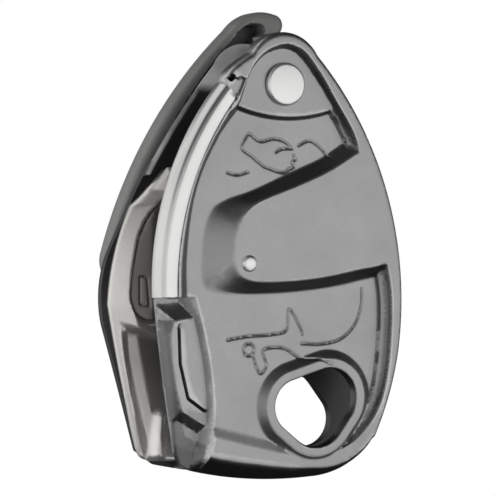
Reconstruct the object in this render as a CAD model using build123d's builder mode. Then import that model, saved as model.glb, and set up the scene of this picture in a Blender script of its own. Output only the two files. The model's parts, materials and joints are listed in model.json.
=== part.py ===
"""Assisted-braking belay device, closed, with its handle folded away.

Frame: X to the right, Y from the front cover to the back, Z up, in millimetres. The side plates
lie in the XZ plane and the moving plate faces -Y. The origin is the centre of the carabiner eye,
midway between the plates.
"""

from build123d import *
import os
from math import cos, radians, sin

# Places of the two pivots, in X and Z
main_pivot = (-9.3, 80.3)
cam_pivot = (-12.0, 44.0)

# Layers of the stack, as Y values from front to back
rim_y = -12.0
lip_y = -11.2
land_y = -9.8
collar_y = -9.7
floor_y = -8.5
floor_back_y = -6.0
flange_y = -5.5
lip_back_y = -8.0
skirt_y = -3.0
cam_front_y = -2.8
cam_back_y = 4.5
jaw_back_y = 6.6
friction_front_y = 7.3
panel_front_y = 8.05
friction_floor_y = 9.0
web_front_y = 8.0
web_back_y = 10.5
recess_back_y = 13.0
handle_front_y = 13.3
hub_seat_y = 16.7
handle_back_y = 20.3

# Material thicknesses and clearances, and the length of a cut that goes right through
sheet = 2.5
tongue_back_y = rim_y + sheet
strip_thickness = 0.8
handle_wall = 2.0
panel_groove_width = 0.7
running_gap = 0.05
press_gap = 0.01
side_gap = 0.3
through = 20.0

# Carabiner eye, the hull of three circles in each plate, each given as X, Z and radius
moving_eye = [(-5.2, 0.7, 6.7), (3.7, 2.5, 7.5), (-0.2, -1.1, 8.4)]
fixed_eye = [(-5.2, 0.7, 6.7), (2.5, 0.0, 8.4), (7.4, -3.9, 6.9), (-0.2, -1.1, 8.4)]
collar_foot_width = 5.0
collar_crest_width = 2.2

# Brake lip and its wear strip follow arcs about two nearby centres
lip_centre = (31.1, 31.3)
strip_radius = 76.2
lip_radius = strip_radius - strip_thickness
band_centre = (34.7, 30.4)
band_radius = 74.6
lip_bottom_angle = 182.6
lip_top_angle = 139.8

# Pins and axles
rivet_radius = 4.0
rivet_head_radius = 5.35
rivet_head_height = 1.1
rear_head_radius = 6.0
rear_head_height = 1.9
guide_rivet = (-20.3, 36.1)
guide_rivet_radius = 1.2
guide_rivet_head_radius = 2.05
guide_rivet_head_height = 0.7
guide_pad_thickness = 2.6
plate_rivet_radius = 1.5
plate_rivet_head_radius = 2.6
plate_rivet_head_height = 0.4
trough_rivets = [(-31.0, 5.9), (-24.4, -6.0)]
rim_rivet = (-30.6, 56.6)
axle_radius = 4.0
axle_head_radius = 7.0
axle_head_height = 0.8
axle_head_y = cam_front_y - 0.1
cam_seat_y = axle_head_y + axle_head_height + side_gap
axle_groove_depth = 0.5
axle_groove_width = 0.8
sleeve_radius = 6.5
washer_radius = 7.4
washer_thickness = 0.4
bush_radius = 5.5
cam_radius = 17.0
rope_groove_radius = 5.2
rope_groove_offset = 2.0
spring_wire = 0.9
cam_spring_radius = 6.4
handle_spring_radius = 8.5
drive_radius = 12.0
drive_pin_radius = 1.5
drive_pin_angle = 30.0
handle_travel = 100.0
cam_pin_angle = 170.0
cam_travel = 22.0
stop_pin_angle = 245.0
stop_slot_depth = 2.4
hub_radius = 17.0
hub_core_radius = 14.5
knob_radius = 9.0
knob_grip_height = 0.9


def upright(y_back):
    """The XZ plane at y_back. What is extruded from it grows towards the front."""
    return Plane.XZ.offset(-y_back)


def around(centre, radius, angle):
    """The point at an angle on a circle, in X and Z."""
    return (centre[0] + radius * cos(radians(angle)), centre[1] + radius * sin(radians(angle)))


def lip_point(radius, angle):
    return around(lip_centre, radius, angle)


def band_point(angle):
    return around(band_centre, band_radius, angle)


def plate_outline():
    """Outer edge of the moving side plate."""
    lip_foot = lip_point(lip_radius, lip_bottom_angle)
    lip_head = lip_point(lip_radius, lip_top_angle)
    with BuildSketch() as profile:
        with BuildLine():
            ThreePointArc((-19.4, 87.6), (-10.2, 93.1), (-0.6, 87.6))
            ThreePointArc((-0.6, 87.6), (16.6, 61.8), (22.9, 14))
            ThreePointArc((22.9, 14), (20.4, 3.6), (15.6, -8))
            ThreePointArc((15.6, -8), (9.6, -14.1), (0, -17.1))
            ThreePointArc((0, -17.1), (-17, -17.1), (-33, -14.2))
            Line((-33, -14.2), (-36.9, -11.5))
            ThreePointArc((-36.9, -11.5), (-39.6, 8), (-42.2, lip_foot[1]))
            Line((-42.2, lip_foot[1]), lip_foot)
            ThreePointArc(lip_foot, lip_point(lip_radius, 160), lip_head)
            Line(lip_head, (-19.4, 87.6))
        make_face()
    return profile.sketch


def sunken_floor():
    """The recessed part of the moving plate, which runs out through its lower edge."""
    with BuildSketch() as profile:
        with BuildLine():
            ThreePointArc((-19.0, 79.5), (-9.6, 88.4), (-2.2, 83.2))
            Line((-2.2, 83.2), (7.6, 68.0))
            Line((7.6, 68.0), (14.0, 46.0))
            Line((14.0, 46.0), (18.2, 24.0))
            ThreePointArc((18.2, 24.0), (17.0, 5.0), (11.0, -7.0))
            Line((11.0, -7.0), (2.0, -24.0))
            Line((2.0, -24.0), (-52, -24.0))
            Line((-52, -24.0), (-52, 24.6))
            Line((-52, 24.6), (-35.0, 24.6))
            ThreePointArc((-35.0, 24.6), (-33.4, 51.6), (-21.4, 73.6))
            Line((-21.4, 73.6), (-19.0, 79.5))
        make_face()
    return profile.sketch


def tongue(edge, left):
    """The raised tongue, grown by edge above and below it and by left towards the brake lip."""
    with BuildSketch() as profile:
        with BuildLine():
            Polyline(
                (-17.9 - left, 50.9 + edge),
                (8.6, 62.6 + edge),
                (11.6, 62.6 + edge),
                (20.0, 35.6 - edge),
                (-19.6 - left, 32.2 - edge),
                (-22.8 - left, 33.8 - edge),
                (-23.4 - left, 40.0),
                (-22.0 - left, 47.6 + edge),
                close=True,
            )
        make_face()
    return profile.sketch


def eye_shape(circles, grow=0.0):
    """The hull of the circles, each grown by the same amount."""
    with BuildSketch() as profile:
        for x, z, radius in circles:
            with Locations((x, z)):
                Circle(radius + grow)
        make_hull()
    return profile.sketch


def fixed_outline():
    """Outer edge of the fixed side plate, with its bulge behind the friction plate."""
    with BuildSketch() as profile:
        with BuildLine():
            ThreePointArc((-18.6, 86.0), (-10.0, 91.6), (-1.0, 86.0))
            ThreePointArc((-1.0, 86.0), (15.8, 61.8), (22.8, 17))
            ThreePointArc((22.8, 17), (23.7, 5), (20.8, -5.4))
            ThreePointArc((20.8, -5.4), (13.2, -13.6), (0, -16.4))
            ThreePointArc((0, -16.4), (-17, -16.6), (-35.0, -14.0))
            Line((-35.0, -14.0), (-40.0, -10.4))
            ThreePointArc((-40.0, -10.4), (-44.6, 6.0), (-48.9, 20.9))
            ThreePointArc((-48.9, 20.9), (-49.6, 29.5), (-47.6, 38.6))
            Line((-47.6, 38.6), (-41.1, 52.2))
            ThreePointArc((-41.1, 52.2), (-31.6, 68.6), (-18.6, 86.0))
        make_face()
    return profile.sketch


def friction_outline(grow=0.0):
    """Outer edge of the friction plate."""
    with BuildSketch() as profile:
        with BuildLine():
            Line((-27.5, 60.5), (-33.0, 60.0))
            ThreePointArc((-33.0, 60.0), (-37.6, 54.4), (-41.8, 50.6))
            ThreePointArc((-41.8, 50.6), (-46.6, 37.0), (-48.1, 26.0))
            ThreePointArc((-48.1, 26.0), (-44.6, 8.0), (-40.2, -10.2))
            Line((-40.2, -10.2), (-36.6, -13.0))
            Line((-36.6, -13.0), (-21.0, -13.6))
            Line((-21.0, -13.6), (-21.0, 22.0))
            Line((-21.0, 22.0), (-27.5, 30.0))
            Line((-27.5, 30.0), (-27.5, 60.5))
        make_face()
        if grow:
            offset(amount=grow)
    return profile.sketch


def window(inset=0.0):
    """The window in the friction plate, or the panel set into it, which is smaller by inset."""
    with BuildSketch() as profile:
        with BuildLine():
            Polyline((-26, 22.5), (-38.5, 20.9), (-41.6, 23.2), (-42.9, 27.5), (-42.2, 35), (-40.6, 43),
                     (-38.4, 48), (-34, 52.5), (-26, 54), close=True)
        make_face()
        fillet(vertices().sort_by(Axis.X)[:7], 1.6)
        if inset:
            offset(amount=-inset, mode=Mode.REPLACE)
    return profile.sketch


def handle_outline():
    """The folded handle: a round hub and an arm along the left edge up to the tip."""
    with BuildSketch() as profile:
        with BuildLine():
            ThreePointArc((-46.2, 38.4), (-36.2, 63.4), (-11.6, 95.6))
            ThreePointArc((-11.6, 95.6), (-4.6, 100.1), (1.2, 99.9))
            ThreePointArc((1.2, 99.9), (3.6, 97.9), (2.4, 94.8))
            ThreePointArc((2.4, 94.8), (-6.4, 78.0), (3.2, 51.6))
            Line((3.2, 51.6), (-12.0, 30.0))
            Line((-12.0, 30.0), (-40.0, 30.0))
            ThreePointArc((-40.0, 30.0), (-44.8, 32.4), (-46.2, 38.4))
        make_face()
        with Locations(cam_pivot):
            Circle(hub_radius)
    return profile.sketch


def curved_slot(first, last):
    """A slot about the cam pivot for a pin at drive_radius, with half a millimetre around it."""
    half = drive_pin_radius + 0.5
    middle = (first + last) / 2
    over = 10
    with BuildSketch() as profile:
        with BuildLine():
            low = drive_radius - half
            high = drive_radius + half
            ThreePointArc(around(cam_pivot, low, first), around(cam_pivot, drive_radius, first - over),
                          around(cam_pivot, high, first))
            ThreePointArc(around(cam_pivot, high, first), around(cam_pivot, high, middle),
                          around(cam_pivot, high, last))
            ThreePointArc(around(cam_pivot, high, last), around(cam_pivot, drive_radius, last + over),
                          around(cam_pivot, low, last))
            ThreePointArc(around(cam_pivot, low, last), around(cam_pivot, low, middle),
                          around(cam_pivot, low, first))
        make_face()
    return profile.sketch


def ring(y_front, y_back, inner, outer):
    """A flat ring about the cam pivot."""
    with BuildPart() as made:
        with BuildSketch(upright(y_back)):
            with Locations(cam_pivot):
                Circle(outer)
                Circle(inner, mode=Mode.SUBTRACT)
        extrude(amount=y_back - y_front)
    return made.part


def coil(y_front, y_back, radius):
    """A close-wound torsion spring about the cam pivot."""
    start = (cam_pivot[0], y_front + spring_wire / 2, cam_pivot[1])
    pitch = 1.15 * spring_wire
    with BuildPart() as made:
        with BuildLine():
            path = Helix(pitch, y_back - y_front - spring_wire, radius, center=start, direction=(0, 1, 0))
        with BuildSketch(Plane(origin=path @ 0, z_dir=path % 0)):
            Circle(spring_wire / 2)
        sweep(is_frenet=True)
    return made.part


os.makedirs("parts", exist_ok=True)
pieces = []


# Moving side plate: pressed sheet with a sunken floor, a raised tongue and a brake lip
with BuildPart() as moving_side_plate:
    with BuildSketch(upright(skirt_y)):
        add(plate_outline())
    extrude(amount=skirt_y - rim_y)
    with BuildSketch(upright(floor_y)):
        add(sunken_floor())
    extrude(amount=floor_y - rim_y, taper=-38, mode=Mode.SUBTRACT)
    # tongue, joined to the right-hand rim
    with BuildSketch(upright(floor_y)):
        add(tongue(3.4, 8.4))
    with BuildSketch(upright(rim_y)):
        add(tongue(0, 0))
    loft()
    # rivet land in the top corner of the sunken floor
    with BuildSketch(upright(floor_y + 0.5)):
        add(plate_outline())
        with Locations((0, 23)):
            Rectangle(120, 100, mode=Mode.SUBTRACT)
    extrude(amount=floor_y + 0.5 - land_y)
    # stepped flange at the lower left
    with BuildSketch(upright(flange_y)):
        with BuildLine():
            Polyline((-52, 27.9), (-34.4, 27.9), (-31.6, 20), (-29.4, 9), (-29.0, -4), (-33, -9), (-52, -9),
                     close=True)
        make_face()
    extrude(amount=flange_y - rim_y, mode=Mode.SUBTRACT)
    # hollow behind the floor, leaving the skirt and the flange
    with BuildSketch(upright(skirt_y)):
        add(plate_outline())
        offset(amount=-sheet, mode=Mode.REPLACE)
        with BuildLine():
            Polyline((-52, 27.9), (-31.6, 27.9), (-28.8, 20), (-26.6, 9), (-26.2, -6), (-30, -20),
                     (-52, -20), close=True)
        make_face(mode=Mode.SUBTRACT)
    extrude(amount=skirt_y - floor_back_y, mode=Mode.SUBTRACT)
    with BuildSketch(upright(floor_back_y)):
        add(tongue(2.4, 6.6))
    with BuildSketch(upright(tongue_back_y)):
        add(tongue(-1.0, -0.6))
    loft(mode=Mode.SUBTRACT)
    with BuildSketch(upright(land_y + sheet + 1.3)):
        with Locations(main_pivot):
            Circle(8.2)
    extrude(amount=1.3, mode=Mode.SUBTRACT)
    # the brake lip ends short of the skirt, and its front carries the wear strip
    with BuildSketch(upright(skirt_y)):
        with Locations((-46, 58.0)):
            Rectangle(60, 60.2)
    extrude(amount=skirt_y - lip_back_y, mode=Mode.SUBTRACT)
    with BuildSketch(upright(lip_y)):
        with BuildLine():
            Line(lip_point(lip_radius + 1, 184), band_point(184))
            ThreePointArc(band_point(184), band_point(160), band_point(142))
            Line(band_point(142), lip_point(lip_radius + 1, lip_top_angle))
            ThreePointArc(lip_point(lip_radius + 1, lip_top_angle), lip_point(lip_radius + 1, 160),
                          lip_point(lip_radius + 1, 184))
        make_face()
    extrude(amount=lip_y - rim_y, mode=Mode.SUBTRACT)
    # carabiner eye with its collar
    with BuildSketch(upright(floor_back_y + 1)):
        add(eye_shape(moving_eye, collar_foot_width))
    extrude(amount=floor_back_y + 1 - floor_y)
    with BuildSketch(upright(floor_y)):
        add(eye_shape(moving_eye, collar_foot_width))
    with BuildSketch(upright(collar_y)):
        add(eye_shape(moving_eye, collar_crest_width))
    loft()
    with BuildSketch(upright(0)):
        add(eye_shape(moving_eye))
        with Locations(main_pivot):
            Circle(rivet_radius + running_gap)
        with Locations(guide_rivet):
            Circle(guide_rivet_radius + press_gap)
    extrude(amount=-rim_y, mode=Mode.SUBTRACT)
pieces.append(("moving_side_plate", moving_side_plate.part))


# Wear strip: a steel angle over the front and the outer side of the brake lip
with BuildPart() as wear_strip:
    with BuildSketch(upright(lip_y)):
        with BuildLine():
            Line(lip_point(strip_radius, lip_bottom_angle), band_point(182.0))
            ThreePointArc(band_point(182.0), band_point(163), band_point(143.6))
            Line(band_point(143.6), lip_point(strip_radius, lip_top_angle + 0.8))
            ThreePointArc(lip_point(strip_radius, lip_top_angle + 0.8), lip_point(strip_radius, 160),
                          lip_point(strip_radius, lip_bottom_angle))
        make_face()
    extrude(amount=lip_y - rim_y)
    with BuildSketch(upright(lip_back_y)):
        with BuildLine():
            inner = lip_radius + press_gap
            Line(lip_point(strip_radius, lip_bottom_angle), lip_point(inner, lip_bottom_angle))
            ThreePointArc(lip_point(inner, lip_bottom_angle), lip_point(inner, 160),
                          lip_point(inner, lip_top_angle + 0.8))
            Line(lip_point(inner, lip_top_angle + 0.8), lip_point(strip_radius, lip_top_angle + 0.8))
            ThreePointArc(lip_point(strip_radius, lip_top_angle + 0.8), lip_point(strip_radius, 160),
                          lip_point(strip_radius, lip_bottom_angle))
        make_face()
    extrude(amount=lip_back_y - rim_y)
pieces.append(("wear_strip", wear_strip.part))


# Guide rivet through the tongue, and the nylon pad that it holds behind the tongue
pad_back_y = tongue_back_y + guide_pad_thickness
with BuildPart() as guide_pad:
    with BuildSketch(upright(pad_back_y)):
        with Locations((guide_rivet[0] + 3.4, guide_rivet[1] + 1.2)):
            RectangleRounded(9.6, 5.0, 1.5)
        with Locations(guide_rivet):
            Circle(guide_rivet_radius + press_gap, mode=Mode.SUBTRACT)
    extrude(amount=pad_back_y - tongue_back_y)
pieces.append(("guide_pad", guide_pad.part))

with BuildPart() as tongue_rivet:
    with BuildSketch(upright(pad_back_y)):
        with Locations(guide_rivet):
            Circle(guide_rivet_radius)
    extrude(amount=pad_back_y - rim_y)
    with BuildSketch(upright(rim_y)):
        with Locations(guide_rivet):
            Circle(guide_rivet_head_radius)
    extrude(amount=guide_rivet_head_height)
    fillet(tongue_rivet.edges().filter_by(GeomType.CIRCLE).sort_by(Axis.Y)[0], 0.5)
    with BuildSketch(upright(pad_back_y + 0.6)):
        with Locations(guide_rivet):
            Circle(guide_rivet_head_radius)
    extrude(amount=0.6)
pieces.append(("tongue_rivet", tongue_rivet.part))


# Fixed side plate: flat web, and a zone at the left set back to take the friction plate
with BuildPart() as fixed_side_plate:
    with BuildSketch(upright(recess_back_y)):
        add(fixed_outline())
    extrude(amount=recess_back_y - web_front_y)
    with BuildSketch(upright(web_back_y)):
        add(friction_outline(press_gap))
        with BuildLine():
            Polyline((-60, 58), (-36, 58), (-30, 40), (-30, -20), (-60, -20), close=True)
        make_face()
    extrude(amount=web_back_y - web_front_y, mode=Mode.SUBTRACT)
    with BuildSketch(upright(recess_back_y)):
        add(fixed_outline())
        offset(amount=2, mode=Mode.REPLACE)
        with BuildLine():
            Polyline((-60, 61.5), (-27.0, 61.5), (-25.0, 59.5), (-25.0, 31), (-18.5, 23), (-18.5, -30),
                     (-60, -30), close=True)
        make_face(mode=Mode.SUBTRACT)
    extrude(amount=recess_back_y - web_back_y, mode=Mode.SUBTRACT)
    with BuildSketch(upright(recess_back_y)):
        add(eye_shape(fixed_eye))
        with Locations(main_pivot):
            Circle(rivet_radius + press_gap)
        with Locations(cam_pivot):
            Circle(axle_radius + press_gap)
        with Locations(around(cam_pivot, drive_radius, stop_pin_angle)):
            Circle(drive_pin_radius + press_gap)
    extrude(amount=recess_back_y, mode=Mode.SUBTRACT)
    # curved slot for the handle's drive pin
    with BuildSketch(upright(recess_back_y)):
        add(curved_slot(drive_pin_angle, drive_pin_angle + handle_travel))
    extrude(amount=recess_back_y, mode=Mode.SUBTRACT)
pieces.append(("fixed_side_plate", fixed_side_plate.part))


# Friction plate: stainless, with a raised edge, a panel set into a window and a rope trough
with BuildPart() as friction_plate:
    with BuildSketch(upright(web_back_y)):
        add(friction_outline())
    extrude(amount=web_back_y - friction_front_y)
    with BuildSketch(upright(friction_floor_y)):
        add(window())
    extrude(amount=friction_floor_y - friction_front_y, mode=Mode.SUBTRACT)
    with BuildSketch(upright(friction_floor_y)):
        add(window(panel_groove_width))
        add(friction_outline(), mode=Mode.INTERSECT)
    extrude(amount=friction_floor_y - panel_front_y)
    with BuildSketch(upright(friction_floor_y)):
        with BuildLine():
            Polyline((-18, 13.6), (-35.5, 16.6), (-45.6, 20.6), (-43.4, 9), (-40.4, -4), (-38.4, -11.0),
                     (-18, -11.6), close=True)
        make_face()
    extrude(amount=friction_floor_y - friction_front_y, taper=-15, mode=Mode.SUBTRACT)
    # upright bead at the lower edge of the trough
    with BuildSketch(upright(friction_floor_y)):
        with Locations((-33.9, -6.6)):
            SlotOverall(14.0, 4.0, rotation=86)
    extrude(amount=friction_floor_y - friction_front_y - 0.3)
    with BuildSketch(upright(web_back_y)):
        with Locations(*trough_rivets, rim_rivet):
            Circle(plate_rivet_radius + press_gap)
    extrude(amount=through, mode=Mode.SUBTRACT)
pieces.append(("friction_plate", friction_plate.part))

# Three rivets hold the friction plate to the fixed side plate
with BuildPart() as friction_plate_rivets:
    for places, seat in ((trough_rivets, friction_floor_y), ([rim_rivet], friction_front_y)):
        with BuildSketch(upright(web_back_y)):
            with Locations(*places):
                Circle(plate_rivet_radius)
        extrude(amount=web_back_y - seat)
        with BuildSketch(upright(seat)):
            with Locations(*places):
                Circle(plate_rivet_head_radius)
        extrude(amount=plate_rivet_head_height)
pieces.append(("friction_plate_rivets", friction_plate_rivets.part))


# Main rivet: the moving side plate turns on it
with BuildPart() as main_rivet:
    with BuildSketch(upright(web_back_y)):
        with Locations(main_pivot):
            Circle(rivet_radius)
    extrude(amount=web_back_y - land_y + side_gap)
    with BuildSketch(upright(land_y - side_gap)):
        with Locations(main_pivot):
            Circle(rivet_head_radius)
    extrude(amount=rivet_head_height)
    chamfer(main_rivet.edges().filter_by(GeomType.CIRCLE).sort_by(Axis.Y)[0], 0.4)
    with BuildSketch(upright(web_back_y + rear_head_height)):
        with Locations(main_pivot):
            Circle(rear_head_radius)
    extrude(amount=rear_head_height)
    chamfer(main_rivet.edges().filter_by(GeomType.CIRCLE).sort_by(Axis.Y)[-1], 0.5)
pieces.append(("main_rivet", main_rivet.part))

# Sleeve that keeps the plates apart, and a nylon washer that the moving plate slides on
sleeve_front_y = land_y + sheet + 0.7
with BuildPart() as spacer_sleeve:
    with BuildSketch(upright(web_front_y)):
        with Locations(main_pivot):
            Circle(sleeve_radius)
            Circle(rivet_radius + press_gap, mode=Mode.SUBTRACT)
    extrude(amount=web_front_y - sleeve_front_y)
pieces.append(("spacer_sleeve", spacer_sleeve.part))

with BuildPart() as pivot_washer:
    with BuildSketch(upright(sleeve_front_y)):
        with Locations(main_pivot):
            Circle(washer_radius)
            Circle(rivet_radius + press_gap, mode=Mode.SUBTRACT)
    extrude(amount=washer_thickness)
pieces.append(("pivot_washer", pivot_washer.part))


# Cam axle: flanged in front of the cam, grooved behind the handle's hub
axle_end_y = hub_seat_y + 1.6
ring_front_y = hub_seat_y + 0.3
with BuildPart() as cam_axle:
    with BuildSketch(upright(axle_end_y)):
        with Locations(cam_pivot):
            Circle(axle_radius)
    extrude(amount=axle_end_y - axle_head_y)
    with BuildSketch(upright(axle_head_y + axle_head_height)):
        with Locations(cam_pivot):
            Circle(axle_head_radius)
    extrude(amount=axle_head_height)
    with BuildSketch(upright(ring_front_y + axle_groove_width)):
        with Locations(cam_pivot):
            Circle(axle_radius + 1)
            Circle(axle_radius - axle_groove_depth, mode=Mode.SUBTRACT)
    extrude(amount=axle_groove_width, mode=Mode.SUBTRACT)
pieces.append(("cam_axle", cam_axle.part))

with BuildPart() as axle_retaining_ring:
    with BuildSketch(upright(ring_front_y + axle_groove_width - 0.05)):
        with Locations(cam_pivot):
            Circle(6.2)
            Circle(axle_radius - axle_groove_depth + 0.1, mode=Mode.SUBTRACT)
        with Locations((cam_pivot[0], cam_pivot[1] - 6)):
            Rectangle(4.0, 8.0, mode=Mode.SUBTRACT)
    extrude(amount=axle_groove_width - 0.1)
pieces.append(("axle_retaining_ring", axle_retaining_ring.part))

hub_washer = ring(web_back_y, handle_front_y - side_gap, axle_radius + press_gap, 7.0)
pieces.append(("hub_washer", hub_washer))

with BuildPart() as cam_stop_pin:
    with BuildSketch(upright(web_back_y)):
        with Locations(around(cam_pivot, drive_radius, stop_pin_angle)):
            Circle(drive_pin_radius)
    extrude(amount=web_back_y - cam_back_y + stop_slot_depth - 0.4)
pieces.append(("cam_stop_pin", cam_stop_pin.part))

cam_spacer = ring(cam_back_y + 0.1, web_front_y, axle_radius + press_gap, 5.4)
pieces.append(("cam_spacer", cam_spacer))

handle_return_spring = coil(web_back_y + side_gap, handle_front_y - side_gap, handle_spring_radius)
pieces.append(("handle_return_spring", handle_return_spring))

cam_return_spring = coil(cam_back_y + side_gap, web_front_y, cam_spring_radius)
pieces.append(("cam_return_spring", cam_return_spring))


# Cam: a disc with a rope groove on its right side, and a jaw towards the left edge
with BuildPart() as cam:
    with BuildSketch(upright(cam_back_y)):
        with Locations(cam_pivot):
            Circle(cam_radius)
        with BuildLine():
            Polyline((-12, 27), (-29, 28.8), (-35, 31.2), (-36.5, 40), (-32.4, 50), (-24, 58), (-12, 61),
                     close=True)
        make_face()
    extrude(amount=cam_back_y - cam_front_y)
    with BuildSketch(upright(jaw_back_y)):
        with BuildLine():
            Polyline((-27.5, 28.4), (-32.4, 28.6), (-34.6, 31.6), (-35.3, 39.4), (-32.0, 48.0), (-29.4, 51.0),
                     (-27.5, 51.5), close=True)
        make_face()
        fillet(vertices().sort_by(Axis.X)[:5], 1.2)
    extrude(amount=jaw_back_y - cam_back_y)
    # rope groove about the pivot, on the right-hand side only
    middle = (cam_pivot[0], (cam_front_y + cam_back_y) / 2, cam_pivot[1])
    with BuildSketch(Plane(origin=middle, x_dir=(0, 0, -1), z_dir=(1, 0, 0))):
        with Locations((cam_radius + rope_groove_offset, 0)):
            Circle(rope_groove_radius)
    revolve(axis=Axis(middle, (0, -1, 0)), revolution_arc=180, mode=Mode.SUBTRACT)
    with BuildSketch(upright(jaw_back_y)):
        with Locations(cam_pivot):
            Circle(bush_radius + press_gap)
        with Locations(around(cam_pivot, drive_radius, cam_pin_angle)):
            Circle(drive_pin_radius + press_gap)
    extrude(amount=through, mode=Mode.SUBTRACT)
    # seat for the axle's head, and a blind slot that the stop pin runs in
    with BuildSketch(upright(cam_seat_y)):
        with Locations(cam_pivot):
            Circle(axle_head_radius + side_gap)
    extrude(amount=cam_seat_y - cam_front_y, mode=Mode.SUBTRACT)
    with BuildSketch(upright(cam_back_y)):
        add(curved_slot(stop_pin_angle, stop_pin_angle + cam_travel))
    extrude(amount=stop_slot_depth, mode=Mode.SUBTRACT)
pieces.append(("cam", cam.part))

cam_bush = ring(cam_seat_y, cam_back_y, axle_radius + running_gap, bush_radius)
pieces.append(("cam_bush", cam_bush))

with BuildPart() as cam_release_pin:
    with BuildSketch(upright(web_front_y - 0.4)):
        with Locations(around(cam_pivot, drive_radius, cam_pin_angle)):
            Circle(drive_pin_radius)
    extrude(amount=web_front_y - 0.4 - cam_front_y)
pieces.append(("cam_release_pin", cam_release_pin.part))


# Handle: a hollow arm, open at the front, with a thick hub
with BuildPart() as handle_lever:
    with BuildSketch(upright(handle_back_y)):
        add(handle_outline())
    extrude(amount=handle_back_y - handle_front_y)
    with BuildSketch(upright(handle_back_y - handle_wall)):
        add(handle_outline())
        offset(amount=-handle_wall, mode=Mode.REPLACE)
        with Locations(cam_pivot):
            Circle(hub_core_radius, mode=Mode.SUBTRACT)
        with Locations((6, 92)):
            Rectangle(16, 30, mode=Mode.SUBTRACT)
    extrude(amount=handle_back_y - handle_front_y, mode=Mode.SUBTRACT)
    with BuildSketch(upright(handle_back_y)):
        with Locations(cam_pivot):
            Circle(knob_radius + 0.3)
    extrude(amount=handle_back_y - hub_seat_y, mode=Mode.SUBTRACT)
    with BuildSketch(upright(handle_back_y)):
        with Locations(cam_pivot):
            Circle(bush_radius + press_gap)
        with Locations(around(cam_pivot, drive_radius, drive_pin_angle)):
            Circle(drive_pin_radius + press_gap)
    extrude(amount=through, mode=Mode.SUBTRACT)
pieces.append(("handle_lever", handle_lever.part))

hub_bush = ring(handle_front_y, hub_seat_y, axle_radius + running_gap, bush_radius)
pieces.append(("hub_bush", hub_bush))

with BuildPart() as handle_drive_pin:
    with BuildSketch(upright(hub_seat_y + 1.5)):
        with Locations(around(cam_pivot, drive_radius, drive_pin_angle)):
            Circle(drive_pin_radius)
    extrude(amount=hub_seat_y + 1.5 - cam_back_y - 0.7)
pieces.append(("handle_drive_pin", handle_drive_pin.part))


selector_spring_washer = ring(hub_seat_y + 0.1, axle_end_y + 0.1, 6.9, 8.8)
pieces.append(("selector_spring_washer", selector_spring_washer))

# Mode selector: a round knob let into the hub, with a grip bar and a wave washer under it
knob_front_y = axle_end_y + 0.3
with BuildPart() as selector_knob:
    with BuildSketch(upright(handle_back_y - knob_grip_height)):
        with Locations(cam_pivot):
            Circle(knob_radius)
    extrude(amount=handle_back_y - knob_grip_height - knob_front_y)
    with BuildSketch(upright(handle_back_y)):
        with Locations(cam_pivot):
            RectangleRounded(4.2, 16.0, 2.0)
    extrude(amount=knob_grip_height)
pieces.append(("selector_knob", selector_knob.part))

for name, part in pieces:
    part.label = name
    export_step(part, f"parts/{name}.step")
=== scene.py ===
"""The looks of the belay device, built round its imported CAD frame.

Plates are height fields over a flat outline. Shapes are worked out in millimetres, with x to the
right, z up and y as the depth behind the front, and are put into the row frame in metres.
"""
import json
import math

import bmesh
import bpy
import numpy as np
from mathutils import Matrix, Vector
from mathutils.geometry import delaunay_2d_cdt


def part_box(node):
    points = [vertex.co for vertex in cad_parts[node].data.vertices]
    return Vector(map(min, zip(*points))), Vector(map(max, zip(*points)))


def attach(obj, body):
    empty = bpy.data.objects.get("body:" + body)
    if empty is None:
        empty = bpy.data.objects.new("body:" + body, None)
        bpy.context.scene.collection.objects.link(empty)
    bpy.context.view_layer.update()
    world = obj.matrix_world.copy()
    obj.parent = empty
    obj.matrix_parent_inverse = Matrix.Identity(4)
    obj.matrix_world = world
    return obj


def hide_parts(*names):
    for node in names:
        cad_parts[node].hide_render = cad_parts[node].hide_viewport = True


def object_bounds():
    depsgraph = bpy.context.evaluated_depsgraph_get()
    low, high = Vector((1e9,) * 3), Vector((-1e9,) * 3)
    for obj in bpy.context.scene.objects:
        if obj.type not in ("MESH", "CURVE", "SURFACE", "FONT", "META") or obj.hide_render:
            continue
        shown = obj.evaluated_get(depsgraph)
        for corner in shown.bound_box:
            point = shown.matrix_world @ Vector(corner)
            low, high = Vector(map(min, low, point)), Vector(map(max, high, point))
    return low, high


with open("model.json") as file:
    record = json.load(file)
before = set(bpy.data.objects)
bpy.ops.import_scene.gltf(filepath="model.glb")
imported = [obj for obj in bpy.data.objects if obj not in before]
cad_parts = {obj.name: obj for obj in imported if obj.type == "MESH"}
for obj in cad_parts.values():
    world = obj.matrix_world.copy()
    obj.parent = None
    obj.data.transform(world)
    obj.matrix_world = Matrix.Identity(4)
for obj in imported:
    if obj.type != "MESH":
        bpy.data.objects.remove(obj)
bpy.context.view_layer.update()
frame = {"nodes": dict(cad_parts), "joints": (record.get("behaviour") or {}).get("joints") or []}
MM = 0.001


# ---------------------------------------------------------------- places from the frame

def corners(node):
    """Lowest and highest corner of a CAD node, in millimetres."""
    low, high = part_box(node)
    return np.array(low) / MM, np.array(high) / MM


def pivot(joint):
    """X and Z of a joint's axis, in millimetres."""
    place = next(j["pos_m"] for j in frame["joints"] if j["name"] == joint)
    return np.array([place[0], place[2]]) / MM


MAIN = pivot("side_plate_swing")
HUB = pivot("cam_turn")
plate_low, plate_high = corners("moving_side_plate")
strip_low, strip_high = corners("wear_strip")
fixed_high = corners("fixed_side_plate")[1]
friction_low, friction_high = corners("friction_plate")
handle_low, handle_high = corners("handle_lever")
rivet_low = corners("main_rivet")[0]
knob_low, knob_high = corners("selector_knob")
RIM = plate_low[1]
SKIRT = plate_high[1]
SHEET = 2.4
FLOOR_DROP = 3.5
FLOOR = RIM + FLOOR_DROP


# ---------------------------------------------------------------- flat curves

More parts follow.
